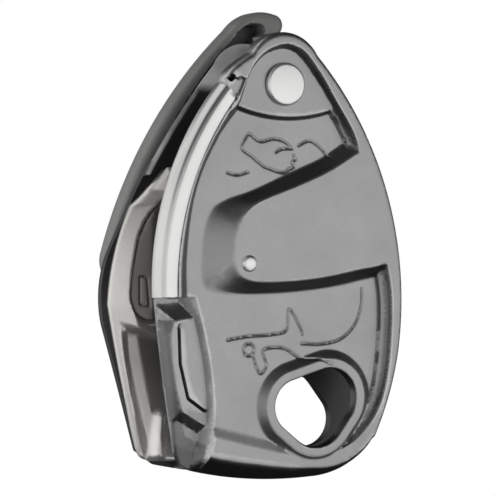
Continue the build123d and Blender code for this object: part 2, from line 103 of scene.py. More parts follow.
def arc(a, b, c, steps=24):
    """Points on the circle through a, b and c, from a to c, without c."""
    a, b, c = (np.array(p, float) for p in (a, b, c))
    d = 2 * (a[0] * (b[1] - c[1]) + b[0] * (c[1] - a[1]) + c[0] * (a[1] - b[1]))
    sq = [p @ p for p in (a, b, c)]
    middle = np.array([
        (sq[0] * (b[1] - c[1]) + sq[1] * (c[1] - a[1]) + sq[2] * (a[1] - b[1])) / d,
        (sq[0] * (c[0] - b[0]) + sq[1] * (a[0] - c[0]) + sq[2] * (b[0] - a[0])) / d])
    angles = [math.atan2(*(p - middle)[::-1]) for p in (a, b, c)]
    turn = (angles[2] - angles[0]) % (2 * math.pi)
    if (angles[1] - angles[0]) % (2 * math.pi) > turn:
        turn -= 2 * math.pi
    t = angles[0] + turn * np.arange(steps) / steps
    radius = np.linalg.norm(a - middle)
    return middle + radius * np.c_[np.cos(t), np.sin(t)]


def flowing(points, closed=False, steps=8):
    """A smooth curve through the points (Catmull-Rom, centripetal)."""
    p = np.array(points, float)
    if closed:
        p = np.vstack([p[-1], p, p[0], p[1]])
    else:
        p = np.vstack([2 * p[0] - p[1], p, 2 * p[-1] - p[-2]])
    out = []
    for a, b, c, d in zip(p, p[1:], p[2:], p[3:]):
        knots = np.cumsum([0] + [max(np.linalg.norm(v), 1e-9) ** 0.5 for v in (b - a, c - b, d - c)])
        for t in knots[1] + (knots[2] - knots[1]) * np.arange(steps) / steps:
            mix = lambda u, v, i, j: ((knots[j] - t) * u + (t - knots[i]) * v) / (knots[j] - knots[i])
            ab, bc, cd = mix(a, b, 0, 1), mix(b, c, 1, 2), mix(c, d, 2, 3)
            out.append(mix(mix(ab, bc, 0, 2), mix(bc, cd, 1, 3), 1, 2))
    if not closed:
        out.append(p[-2])
    return np.array(out)


def softened(points, radius):
    """A closed polygon with its corners rounded off by up to radius."""
    p = np.array(points, float)
    out = []
    for before, here, after in zip(np.roll(p, 1, 0), p, np.roll(p, -1, 0)):
        back, on = before - here, after - here
        reach = min(radius, 0.45 * np.linalg.norm(back), 0.45 * np.linalg.norm(on))
        first = here + back / np.linalg.norm(back) * reach
        last = here + on / np.linalg.norm(on) * reach
        for t in np.linspace(0, 1, 7):
            out.append((1 - t) ** 2 * first + 2 * t * (1 - t) * here + t * t * last)
    return np.array(out)


def circle(centre, radius, steps=72):
    t = 2 * math.pi * np.arange(steps) / steps
    return np.array(centre) + radius * np.c_[np.cos(t), np.sin(t)]


def hull(circles, grow=0.0, steps=144):
    """The curve round a set of circles, given as x, z and radius, each grown by the same amount."""
    t = 2 * math.pi * np.arange(steps) / steps
    out = np.c_[np.cos(t), np.sin(t)]
    found = np.array(circles, float)
    best = (out @ found[:, :2].T + found[:, 2]).argmax(1)
    return found[best, :2] + (found[best, 2:] + grow) * out


def spaced(curve, step, closed=True):
    """The curve with its points about one step apart."""
    p = np.vstack([curve, curve[:1]]) if closed else np.array(curve, float)
    lengths = np.r_[0, np.cumsum(np.linalg.norm(np.diff(p, axis=0), axis=1))]
    count = max(8, int(round(lengths[-1] / step)))
    at = np.linspace(0, lengths[-1], count, endpoint=False) if closed else np.linspace(0, lengths[-1], count)
    return np.c_[np.interp(at, lengths, p[:, 0]), np.interp(at, lengths, p[:, 1])]


def gap(points, curve, closed=True):
    """Distance from each point to the curve."""
    a = np.array(curve, float)
    b = np.roll(a, -1, 0)
    if not closed:
        a, b = a[:-1], b[:-1]
    run = b - a
    size = np.maximum((run ** 2).sum(1), 1e-12)
    out = np.empty(len(points))
    for i in range(0, len(points), 4000):
        q = points[i:i + 4000, None, :] - a[None]
        t = np.clip((q * run).sum(2) / size, 0, 1)
        out[i:i + 4000] = np.sqrt(((q - t[..., None] * run) ** 2).sum(2).min(1))
    return out


def within(points, curve):
    """True for the points inside a closed curve."""
    a = np.array(curve, float)
    b = np.roll(a, -1, 0)
    out = np.empty(len(points), bool)
    for i in range(0, len(points), 4000):
        x, z = points[i:i + 4000, :1], points[i:i + 4000, 1:]
        crosses = (a[:, 1] > z) != (b[:, 1] > z)
        at = a[:, 0] + (z - a[:, 1]) * (b[:, 0] - a[:, 0]) / np.where(b[:, 1] == a[:, 1], 1e-12,
                                                                      b[:, 1] - a[:, 1])
        out[i:i + 4000] = (crosses & (x < at)).sum(1) % 2 == 1
    return out


def depth_in(points, curve):
    """Distance inside a closed curve, negative outside it."""
    return np.where(within(points, curve), 1, -1) * gap(points, curve)


def ease(t, corner=0.16):
    """0 to 1 along a straight ramp with rounded ends."""
    u = np.clip(t, 0, 1) * (1 + 2 * corner) - corner
    low = (u + corner) ** 2 / (4 * corner)
    high = 1 - (1 + corner - u) ** 2 / (4 * corner)
    return np.where(u < corner, low, np.where(u > 1 - corner, high, u))


def between(points, foot, top):
    """0 at and beyond the foot curve, 1 at and inside the top curve, in step between them."""
    from_foot = np.maximum(depth_in(points, foot), 0)
    from_top = np.maximum(-depth_in(points, top), 0)
    return from_foot / np.maximum(from_foot + from_top, 1e-9)


def rounding(distance, radius):
    """How far an edge rounded to radius falls away at a distance inside it."""
    d = np.clip(distance, 0, radius)
    return radius - np.sqrt(np.maximum(radius ** 2 - (radius - d) ** 2, 0))


# ---------------------------------------------------------------- meshes

WALL = 0.04

def new_piece(name, vertices, faces, body, material, replaced=(), sharp=40):
    """A mesh piece in the row frame, riding on a CAD body. Vertices are in millimetres."""
    mesh = bpy.data.meshes.new(name)
    mesh.from_pydata((np.array(vertices) * MM).tolist(), [], [list(map(int, f)) for f in faces])
    mesh.validate()
    mesh.materials.append(material)
    mesh.shade_smooth()
    mesh.set_sharp_from_angle(angle=math.radians(sharp))
    piece = bpy.data.objects.new(name, mesh)
    bpy.context.scene.collection.objects.link(piece)
    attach(piece, body)
    if replaced:
        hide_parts(*replaced)
    return piece


def flat_net(loops, step, lines=(), fine=0.2, reach=0.8, rows=(), walls=(), rails=()):
    """Triangles over the area inside loops[0] and outside the other loops.

    The loops' own points come first. Near the given lines the points are closer together. Rows are
    distances from the loops that get points of their own, rails are lines with points along them,
    for a crease, and walls are lines with points close along both sides, for a steep step.
    """
    edge = np.vstack(loops)
    low, high = loops[0].min(0), loops[0].max(0)

    def grid(size):
        xs = np.arange(low[0], high[0], size)
        zs = np.arange(low[1], high[1], size * 0.866)
        x, z = np.meshgrid(xs, zs)
        x[1::2] += size / 2
        return np.c_[x.ravel(), z.ravel()]

    def kept(points, margin):
        clear = depth_in(points, loops[0]) > margin
        points = points[clear]
        for hole in loops[1:]:
            points = points[depth_in(points, hole) < -margin]
        return points

    inner = kept(grid(step), max(rows, default=0) + 0.4 * step)
    sets = []
    if lines:
        near = np.min([gap(inner, line, closed) for line, closed in lines], axis=0)
        inner = inner[near > reach + 0.3 * step]
        close = kept(grid(fine), max(rows, default=0) + 0.6 * fine)
        near = np.min([gap(close, line, closed) for line, closed in lines], axis=0)
        sets.append(close[near <= reach])
    sets.append(inner)
    for loop in loops:
        side = 1 if loop is loops[0] else -1
        ahead = np.roll(loop, -1, 0) - np.roll(loop, 1, 0)
        normal = np.c_[-ahead[:, 1], ahead[:, 0]] / np.linalg.norm(ahead, axis=1)[:, None]
        if (depth_in(loop + normal * 0.02, loop) < 0).mean() > 0.5:
            normal = -normal
        for row in rows:
            sets.append(kept(loop + side * normal * row, row * 0.9))
    for line, closed in rails:
        line = spaced(line, 0.35, closed)
        sets = [some[gap(some, line, closed) > 0.16] for some in sets] + [kept(line, 0.1)]
    for line, closed in walls:
        line = spaced(line, max(fine, 0.25), closed)
        sets = [some[gap(some, line, closed) > 0.2] for some in sets]
    for line, closed in walls:
        line = spaced(line, max(fine, 0.25), closed)
        ahead = np.roll(line, -1, 0) - np.roll(line, 1, 0) if closed else np.gradient(line, axis=0)
        normal = np.c_[-ahead[:, 1], ahead[:, 0]] / np.linalg.norm(ahead, axis=1)[:, None]
        sets += [kept(line + side * normal, 0.06) for side in (-WALL, WALL)]
    points = np.vstack([edge] + sets)
    links, first = [], 0
    for loop in loops:
        n = len(loop)
        links += [(first + i, first + (i + 1) % n) for i in range(n)]
        first += n
    made = delaunay_2d_cdt([Vector(p) for p in points.tolist()], links, [], 1, 1e-6)
    out = np.array([v[:] for v in made[0]])
    tris = np.array([f for f in made[2] if len(f) == 3])
    middles = out[tris].mean(1)
    good = within(middles, loops[0])
    for hole in loops[1:]:
        good &= ~within(middles, hole)
    tris = tris[good]
    a, b, c = (out[tris[:, i]] for i in range(3))
    turn = (b[:, 0] - a[:, 0]) * (c[:, 1] - a[:, 1]) - (b[:, 1] - a[:, 1]) * (c[:, 0] - a[:, 0])
    tris[turn < 0] = tris[turn < 0][:, ::-1]
    return out, tris[np.abs(turn) > 1e-9]


def plate(name, loops, front, back, body, material, replaced=(), step=0.7, lines=(), fine=0.2,
          reach=0.8, rows=(), walls=(), rails=(), back_step=1.4, back_rows=(), back_walls=(), sharp=40):
    """A solid between two height fields over the same outline."""
    fore, fore_tris = flat_net(loops, step, lines, fine, reach, rows, walls, rails)
    aft, aft_tris = flat_net(loops, back_step, rows=back_rows, walls=back_walls, fine=0.5)
    count = sum(len(loop) for loop in loops)
    first = len(fore)
    vertices = np.vstack([np.c_[fore[:, 0], front(fore), fore[:, 1]], np.c_[aft[:, 0], back(aft), aft[:, 1]]])
    faces = list(fore_tris) + list(aft_tris[:, ::-1] + first)
    links = {}
    for tri in fore_tris:
        for i, j in zip(tri, np.roll(tri, -1)):
            links[(i, j)] = links.get((i, j), 0) + 1
    for i, j in list(links):
        if (j, i) not in links and i < count and j < count:
            faces.append((j, i, first + i, first + j))
    return new_piece(name, vertices, faces, body, material, replaced, sharp)


def turned(name, profile, centre, body, material, replaced=(), steps=96, sharp=40):
    """A solid of revolution about the Y axis through centre. The profile is a list of (radius, y)."""
    profile = np.array(profile, float)
    vertices, faces = [], []
    for radius, y in profile:
        for k in range(steps):
            t = 2 * math.pi * k / steps
            vertices.append((centre[0] + radius * math.cos(t), y, centre[1] + radius * math.sin(t)))
    for i in range(len(profile) - 1):
        for k in range(steps):
            n = (k + 1) % steps
            faces.append((i * steps + k, i * steps + n, (i + 1) * steps + n, (i + 1) * steps + k))
    faces.append(list(range(steps))[::-1])
    faces.append([(len(profile) - 1) * steps + k for k in range(steps)])
    return new_piece(name, vertices, faces, body, material, replaced, sharp)


# ---------------------------------------------------------------- materials

def shader(name, colour, metallic, roughness):
    """A Principled material, and a helper that adds nodes to it."""
    material = bpy.data.materials.new(name)
    material.use_nodes = True
    tree = material.node_tree
    surface = tree.nodes["Principled BSDF"]
    surface.inputs["Base Color"].default_value = (*colour, 1)
    surface.inputs["Metallic"].default_value = metallic
    surface.inputs["Roughness"].default_value = roughness

    def add(kind, **settings):
        node = tree.nodes.new(kind)
        for key, value in settings.items():
            if key in node.inputs:
                node.inputs[key].default_value = value
            else:
                setattr(node, key, value)
        return node

    return material, tree, surface, add


def mottled(name, colour, metallic, roughness, spread, grain, bump, stretch=(1, 1, 1), tint=0.08,
            wear=0.0, wear_and_lit_colour=(0.8, 0.8, 0.8), shaded=None):
    """Metal or plastic with grain: noise moves its colour and roughness and lifts its surface.

    grain is the size of the texture in millimetres, and stretch draws it out into brush lines.
    Where the mesh has an edge attribute, wear brightens the marked places: worn raised edges, and on
    the fixed plate a painted lit zone and a painted edge highlight. Where it has a shade attribute,
    the colour goes towards shaded, as painted shade.
    """
    material, tree, surface, add = shader(name, colour, metallic, roughness)
    link = tree.links.new
    place = add("ShaderNodeTexCoord")
    scale = add("ShaderNodeMapping", Scale=stretch)
    link(place.outputs["Object"], scale.inputs["Vector"])
    fine = add("ShaderNodeTexNoise", Scale=1000 / grain, Detail=4.0, Roughness=0.6)
    broad = add("ShaderNodeTexNoise", Scale=1000 / 14, Detail=3.0, Roughness=0.55)
    link(scale.outputs["Vector"], fine.inputs["Vector"])
    link(place.outputs["Object"], broad.inputs["Vector"])
    rough = add("ShaderNodeMapRange")
    for key, value in (("To Min", roughness - spread), ("To Max", roughness + spread)):
        rough.inputs[key].default_value = value
    link(fine.outputs["Fac"], rough.inputs["Value"])
    link(rough.outputs["Result"], surface.inputs["Roughness"])
    dark, light = (tuple(c * (1 + side * tint) for c in colour) for side in (-1, 1))
    shade = add("ShaderNodeMix", data_type="RGBA")
    shade.inputs[6].default_value = (*dark, 1)
    shade.inputs[7].default_value = (*light, 1)
    both = add("ShaderNodeMath", operation="MULTIPLY")
    link(fine.outputs["Fac"], both.inputs[0])
    link(broad.outputs["Fac"], both.inputs[1])
    lift = add("ShaderNodeMapRange")
    for key, value in (("From Min", 0.12), ("From Max", 0.38)):
        lift.inputs[key].default_value = value
    link(both.outputs["Value"], lift.inputs["Value"])
    link(lift.outputs["Result"], shade.inputs[0])
    result = shade.outputs[2]
    if wear:
        edge = add("ShaderNodeAttribute", attribute_name="edge")
        patch = add("ShaderNodeMath", operation="MULTIPLY")
        link(edge.outputs["Fac"], patch.inputs[0])
        link(broad.outputs["Fac"], patch.inputs[1])
        amount = add("ShaderNodeMapRange")
        for key, value in (("From Min", 0.15), ("From Max", 0.6), ("To Max", wear)):
            amount.inputs[key].default_value = value
        link(patch.outputs["Value"], amount.inputs["Value"])
        wear_and_light_mix = add("ShaderNodeMix", data_type="RGBA")
        wear_and_light_mix.inputs[7].default_value = (*wear_and_lit_colour, 1)
        link(amount.outputs["Result"], wear_and_light_mix.inputs[0])
        link(result, wear_and_light_mix.inputs[6])
        result = wear_and_light_mix.outputs[2]
    if shaded:
        where = add("ShaderNodeAttribute", attribute_name="shade")
        darker = add("ShaderNodeMix", data_type="RGBA")
        darker.inputs[7].default_value = (*shaded, 1)
        link(where.outputs["Fac"], darker.inputs[0])
        link(result, darker.inputs[6])
        result = darker.outputs[2]
    link(result, surface.inputs["Base Color"])
    if bump:
        relief = add("ShaderNodeBump", Strength=bump, Distance=0.00005)
        link(fine.outputs["Fac"], relief.inputs["Height"])
        link(relief.outputs["Normal"], surface.inputs["Normal"])
    return material


anodised = mottled("anodised_alloy", (0.37, 0.37, 0.375), 1.0, 0.40, 0.05, 0.35, 0.35, wear=0.4,
                   shaded=(0.14, 0.14, 0.142))
# Near-black colour on the fixed plate is painted shade; its edge attribute brings in a painted lit zone at the
# top left and a painted highlight along the edge.
shade_painted_alloy = mottled("shade_painted_alloy", (0.03, 0.03, 0.031), 0.0, 0.42, 0.05, 0.35, 0.3, wear=1.0,
                     wear_and_lit_colour=(0.8, 0.8, 0.8))
bright_steel = mottled("bright_steel", (0.70, 0.70, 0.69), 1.0, 0.30, 0.06, 0.25, 0.15, (3, 3, 0.15), 0.03)
satin_steel = mottled("satin_steel", (0.90, 0.88, 0.85), 0.75, 0.36, 0.05, 0.4, 0.2, (1, 1, 1), 0.05,
                      wear=0.3, shaded=(0.20, 0.19, 0.18))
rivet_steel = mottled("rivet_steel", (0.86, 0.86, 0.85), 1.0, 0.42, 0.04, 0.2, 0.12, (1, 1, 1), 0.03)
cam_steel = mottled("cam_steel", (0.50, 0.47, 0.44), 1.0, 0.38, 0.05, 0.4, 0.25, (1, 1, 1), 0.06)
ground_steel = mottled("ground_steel", (0.55, 0.55, 0.55), 1.0, 0.30, 0.05, 0.2, 0.1, (1, 0.1, 1), 0.04)
spring_wire = mottled("spring_wire", (0.45, 0.45, 0.46), 1.0, 0.28, 0.04, 0.2, 0.05, (1, 1, 1), 0.04)
dark_nylon = mottled("dark_nylon", (0.26, 0.265, 0.255), 0.0, 0.40, 0.05, 0.3, 0.5, (1, 1, 1), 0.10,
                     shaded=(0.012, 0.012, 0.012))
grey_nylon = mottled("grey_nylon", (0.30, 0.30, 0.30), 0.0, 0.45, 0.05, 0.3, 0.5, (1, 1, 1), 0.08)
natural_nylon = mottled("natural_nylon", (0.72, 0.69, 0.62), 0.0, 0.45, 0.05, 0.4, 0.2, (1, 1, 1), 0.05)
bronze = mottled("sintered_bronze", (0.52, 0.36, 0.18), 1.0, 0.45, 0.08, 0.15, 0.5, (1, 1, 1), 0.12)


# ---------------------------------------------------------------- moving side plate

lip_foot = (strip_low[0] + 0.9, strip_low[2] + 0.1)
outline = np.vstack([
    arc((-19.4, 87.6), (-10.2, plate_high[2]), (-0.6, 87.6)),
    arc((-0.6, 87.6), (16.6, 61.8), (22.9, 14), 40),
    arc((22.9, 14), (20.4, 3.6), (15.6, -8)),
    arc((15.6, -8), (9.6, -14.1), (0, -17.1)),
    arc((0, -17.1), (-17, -17.1), (-32.4, -14.6)),
    flowing([(-32.4, -14.6), (-35.2, -13.2), (-36.6, -10.8)])[:-1],
    arc((-36.6, -10.8), (-39.6, 8), (-42.1, lip_foot[1])),
    [(-42.1, lip_foot[1])],
    arc(lip_foot, (-40.0, 54.6), (-26.6, 79.6), 36),
    flowing([(-26.6, 79.6), (-26.8, 81.0), (-25.8, 82.9), (-23.0, 85.3), (-19.4, 87.6)])[:-1]])
pocket_top = np.vstack([
    flowing([(-26.3, 73.4), (-23.9, 75.4), (-22.4, 78.6), (-20.2, 83.3), (-16.8, 87.4), (-13.2, 89.5),
             (-9.2, 90.3), (-5.3, 89.0), (-1.9, 85.7), (5.3, 75.5), (9.6, 68.9), (11.4, 64.0), (15.4, 50.0),
             (19.0, 38.0), (20.8, 29.4), (20.9, 19.3), (19.7, 8.0), (17.2, 0.0), (14.2, -5.0), (9.6, -9.4),
             (3.0, -11.9), (-4.6, -12.3), (-13.1, -11.2), (-21.5, -9.2), (-27.0, -7.8), (-32.0, -6.2)]),
    [(-60, 2), (-60, 20), (-44, 24)], flowing([(-39.9, 26.0), (-39.5, 38.0), (-37.2, 50.3), (-33.9, 60.0),
                                               (-30.1, 67.3)])])
pocket_foot = np.vstack([
    flowing([(-21.4, 73.4), (-20.2, 77.2), (-18.5, 82.2), (-15.6, 86.0), (-12.4, 87.8), (-9.2, 88.4),
             (-6.2, 87.3), (-3.4, 84.6), (3.6, 74.3), (7.6, 68.0), (9.4, 63.0), (13.4, 49.0), (16.2, 38.0),
             (18.0, 29.3), (18.3, 21.8), (17.6, 11.7), (15.9, 3.0), (12.6, -2.9), (8.0, -7.0), (2.0, -9.0),
             (-4.2, -8.6), (-12.7, -6.4), (-21.1, -4.2), (-30.8, -1.9)]),
    [(-58, 5), (-58, 20), (-40, 22)],
    flowing([(-34.7, 26.0), (-34.9, 38.0), (-33.2, 51.6), (-30.2, 60.1), (-26.1, 67.5)])])
tongue_top = np.vstack([
    flowing([(14.0, 65.6), (8.8, 62.4), (2.4, 58.8), (-6.1, 55.2), (-14.6, 52.2), (-18.4, 50.5),
             (-21.3, 47.8), (-22.9, 43.8), (-23.5, 37.5), (-22.6, 34.0), (-19.6, 32.3), (-9.0, 32.0),
             (2.4, 33.2), (11.1, 34.9), (15.5, 35.5), (19.0, 36.4)]),
    [(40, 40), (40, 80)]])
tongue_foot = np.vstack([
    flowing([(13.0, 69.6), (6.0, 64.9), (1.6, 62.3), (-7.0, 58.7), (-18.3, 53.9), (-25.2, 51.9),
             (-28.8, 50.0), (-31.3, 45.5), (-32.5, 38.2), (-32.4, 31.9), (-30.7, 29.5), (-26.6, 28.6),
             (-15.5, 28.4), (-4.1, 29.0), (7.4, 30.4), (14.7, 31.9), (22.0, 33.0)]),
    [(44, 36), (44, 84)]])
ridge = flowing([(-36.4, 44.0), (-34.9, 34.0), (-32.9, 26.6), (-30.6, 18.0), (-28.9, 9.0), (-28.3, 0.4),
                 (-28.7, -6.4), (-29.6, -10.5), (-31.0, -18.0)])
eye_circles = [(-5.2, 0.7, 6.7), (3.7, 2.5, 7.5), (-0.2, -1.1, 8.4)]
eye = hull(eye_circles)
lower_edge = np.vstack([arc((15.6, -8), (9.6, -14.1), (0, -17.1)),
                        arc((0, -17.1), (-17, -17.1), (-32.4, -14.6)),
                        [(-32.4, -14.6), (-37.0, -12.6)]])
land_step = np.c_[np.linspace(-24, 8, 24), 71.9 + 0.0125 * (np.linspace(-24, 8, 24) + 8.5) ** 2]


def ridge_offset(p):
    """How far a point lies to the left of the ridge beside the sunken floor."""
    return np.interp(-p[:, 1], -ridge[:, 1], ridge[:, 0]) - p[:, 0]


panel_circles = [(-35.5, 20.4, 0.8), (-33.8, 22.3, 0.8), (-32.4, 20.5, 0.8), (-29.5, 1.4, 0.8),
                 (-33.2, 4.0, 0.8), (-35.2, 12.0, 0.8)]
panel_edge = hull(panel_circles)
PANEL_DROP = 2.0
FACET_WIDTH = 2.6
FACET_SLOPE = 0.8
SIDE_SLOPE = 2.2
GROOVE_DEPTH = 1.3
GROOVE_WALLS = (0.35, 0.5, 0.95)
COLLAR_HEIGHT, COLLAR_LAND, COLLAR_FALL, COLLAR_REACH = 1.6, 2.1, 2.7, 5.2
rib_line = np.array([(-42.6, 26.7), (-37.8, 22.2), (-38.9, 18.9), (-38.5, 12.9), (-37.4, 5.7), (-36.1, 0.9),
                     (-34.6, -3.5), (-31.0, -15.0)])
foot_line = np.array([(-36.1, 0.3), (-28.0, -4.5)])
top_line = np.array([(-37.8, 22.2), (-31.0, 23.2)])


def along(line, at, axis):
    """The other coordinate of a line at the given places along one axis."""
    order = np.argsort(line[:, axis])
    return np.interp(at, line[order, axis], line[order, 1 - axis])


def flange_facets(p):
    """Depths of the flange's sloping facets: the outer and lower ones, and the one under the strip."""
    x, z = p[:, 0], p[:, 1]
    outer = np.clip(along(rib_line, z, 1) - x, 0, FACET_WIDTH)
    lower = np.clip(along(foot_line, x, 0) - z, 0, FACET_WIDTH)
    under_strip = np.maximum(z - along(top_line, x, 0), 0)
    return FACET_SLOPE * np.maximum(outer, lower), FACET_SLOPE * under_strip


def flange_groove(p):
    """Share of the groove round the left and the foot of the flange's panel."""
    floor, rise, end = GROOVE_WALLS
    out = np.maximum(-depth_in(p, panel_edge), 0)
    below_top = 1 - ease((p[:, 1] - 19.5) / 2.5)
    return ease(out / floor) * (1 - ease((out - rise) / (end - rise))) * below_top


def flange(p, beside):
    """Depth of the stepped flange: a flat panel in a groove with facets round it, and the wall beside it."""
    facets, top = flange_facets(p)
    body = FLOOR + PANEL_DROP + GROOVE_DEPTH * flange_groove(p) + facets + top
    return np.minimum(body, beside + SIDE_SLOPE * ridge_offset(p))


LOWER_WALL = 5.2
BAND_CENTRE, BAND_RADIUS = (34.7, 30.4), 74.6
end_hole = circle((-25.0, 81.4), 0.95, 28)


def lower_fall(p):
    """How far the plate's lower edge falls away, as a rounded shoulder and then a sloping wall."""
    width = np.interp(p[:, 0], (-34, -17, 0, 8, 14), (5.0, 4.5, 2.8, 1.6, 0.9))
    t = 1 - gap(p, lower_edge, closed=False) / width
    bend = 0.3
    run = np.where(t < bend, np.maximum(t, 0) ** 2 / (2 * bend), t - bend / 2) / (1 - bend / 2)
    return LOWER_WALL * width / 5 * run


def rim_share(x, z):
    """Height of the rim round the sunken floor, which gets low along the lower edge."""
    low = np.interp(x, (-8, 4, 10, 15, 18), (0.26, 0.32, 0.5, 0.85, 1.0))
    return 1 - (1 - low) * ease((8 - z) / 8)


def plate_front(p):
    """Front surface of the moving side plate."""
    x, z = p[:, 0], p[:, 1]
    rise = 1 - between(p, pocket_top, pocket_foot)
    stepped = 0.30 * ease(rise / 0.12,
                          0.3) + 0.14 * ease((rise - 0.12) / 0.4) + 0.56 * ease((rise - 0.52) / 0.36)
    right = ease((x + 4) / 6)
    wall = right * stepped + (1 - right) * ease((rise - 0.12) / 0.76, 0.15)
    wall = np.where(within(p, pocket_top), wall, 1.0) * rim_share(x, z)
    slope = ease(between(p, tongue_foot, tongue_top), 0.10)
    land = 1.35 / FLOOR_DROP * ease((z - np.interp(x, land_step[:, 0], land_step[:, 1])) / 1.3 + 0.5, 0.3)
    meeting = 0.3
    joined = np.maximum(wall, slope) + np.maximum(meeting - np.abs(wall - slope), 0) ** 2 / (4 * meeting)
    joined = np.where(np.minimum(wall, slope) > 0.01, np.minimum(joined, 1), np.maximum(wall, slope))
    height = np.maximum(joined, land) * FLOOR_DROP
    surface = FLOOR - height
    # collar round the eye
    out = np.maximum(-depth_in(p, eye), 0)
    collar = FLOOR - COLLAR_HEIGHT * ease(1 - (out - COLLAR_LAND) / COLLAR_FALL, 0.12)
    surface = np.where(out < COLLAR_REACH, np.minimum(surface, collar), surface) + rounding(out, 0.5)
    # stepped flange, and the lip that carries the wear strip
    left = (ridge_offset(p) > 0) & (z < lip_foot[1])
    surface = np.where(left, flange(p, surface), surface)
    lip = (~within(p, pocket_top)) & (x < -15) & (z > lip_foot[1] - 0.2)
    seat = ease((81.6 - z) / 0.6) * ease((np.hypot(x - BAND_CENTRE[0],
                                                   z - BAND_CENTRE[1]) - BAND_RADIUS + 0.3) / 0.5)
    surface = surface + np.where(lip, 0.8 * np.where(z > 72, seat, 1.0), 0)
    fall = lower_fall(p)
    surface = surface + fall * np.clip((SKIRT - 0.6 - surface) / LOWER_WALL, 0, 1)
    edge = rounding(gap(p, outline), 1.3) * (1 - 0.6 * ease((-2 - z) / 6))
    return np.minimum(surface + edge, SKIRT - 0.3) + 2.0 * within(p, end_hole)


def pictogram_lines():
    """A generic open hand on a rope and a simple climber, drawn as open strokes."""
    hand = [flowing([(-18.6, 68.2), (-20.6, 64.6), (-17.6, 62.4), (-14.4, 60.0)]),
            flowing([(-18.6, 68.2), (-15.4, 66.2), (-11.6, 66.9), (-8.4, 66.2), (-6.4, 64.6)]),
            flowing([(-6.4, 64.6), (-9.4, 64.4), (-11.0, 63.6)]),
            flowing([(-6.0, 63.0), (-5.4, 62.0), (-6.4, 61.2), (-5.9, 60.2), (-7.4, 59.4), (-8.8, 58.6),
                     (-14.4, 60.0)])]
    rope = [flowing([(-24.6, 58.4), (-22.0, 57.8), (-18.8, 58.6)]),
            flowing([(-4.6, 65.4), (-1.4, 66.6), (1.6, 65.0), (3.8, 62.6)])]
    climber = [flowing([(-24.6, 17.4), (-19.0, 18.2), (-12.0, 18.6), (-8.0, 19.6), (-7.2, 24.8), (-4.4, 20.8),
                        (-3.4, 18.6)]),
               flowing([(-17.6, 13.6), (-15.4, 9.0), (-13.6, 10.8), (-14.6, 14.6), (-9.0, 15.2), (-4.0, 12.6),
                        (1.0, 12.2), (4.4, 11.0)]),
               circle((-18.6, 14.9), 1.5, 24)]
    line = [flowing([(-3.8, 16.2), (2.0, 16.0), (7.6, 17.2), (11.6, 20.6), (13.6, 25.6), (13.8, 29.6)])]
    return hand + rope + climber + line


strokes = pictogram_lines()


def marked_front(p):
    """The plate's front with the pictograms pressed into it."""
    near = np.min([gap(p, s, closed=False) for s in strokes], axis=0)
    return plate_front(p) + 0.28 * np.exp(-(near / 0.28) ** 2) * (p[:, 1] < 70)


def plate_back(p):
    """Back surface of the moving side plate, with its skirt and the hollow behind the floor."""
    room = gap(p, outline)
    ends = np.where((p[:, 1] > lip_foot[1]) & (p[:, 0] < -15), strip_high[1], SKIRT)
    hollow = np.minimum(plate_front(p) + SHEET, SKIRT - 0.2)
    return np.where(room < 2.3, ends, np.minimum(hollow, ends))


def mark(piece, values, name):
    """Writes a number for each point of a piece, for its material to read."""
    piece.data.attributes.new(name, "FLOAT", "POINT").data.foreach_set("value", values.astype(np.float32))


def flat_places(piece):
    """X and Z of each point of a piece, and its Y, in millimetres."""
    co = np.empty(len(piece.data.vertices) * 3)
    piece.data.vertices.foreach_get("co", co)
    co = co.reshape(-1, 3) / MM
    return co[:, [0, 2]], co[:, 1]


def mark_edges(piece, rounds=7, full=0.16):
    """Marks raised edges, where the surface stands in front of its own smoothed shape."""
    places, height = flat_places(piece)
    ends = np.empty(len(piece.data.edges) * 2, int)
    piece.data.edges.foreach_get("vertices", ends)
    a, b = ends.reshape(-1, 2).T
    count = np.bincount(np.r_[a, b], minlength=len(height))
    smooth = height.copy()
    for _ in range(rounds):
        total = np.bincount(np.r_[a, b], weights=np.r_[smooth[b], smooth[a]], minlength=len(height))
        smooth = total / np.maximum(count, 1)
    mark(piece, np.clip((smooth - height - 0.05) / full, 0, 1), "edge")


def steepness(piece, start=0.88, full=0.66):
    """How steep a front face is at each point, from 0 for flat to 1 for a wall."""
    normals = np.empty(len(piece.data.vertices) * 3)
    piece.data.vertices.foreach_get("normal", normals)
    facing = -normals.reshape(-1, 3)[:, 1]
    return np.clip((start - facing) / (start - full), 0, 1)


def level(foot, top, share):
    """A line that lies a share of the way from one curve to the nearest places on another."""
    foot, top = spaced(foot, 0.35), spaced(top, 0.1)
    nearest = top[np.linalg.norm(foot[:, None] - top[None], axis=2).argmin(1)]
    return foot + (nearest - foot) * share


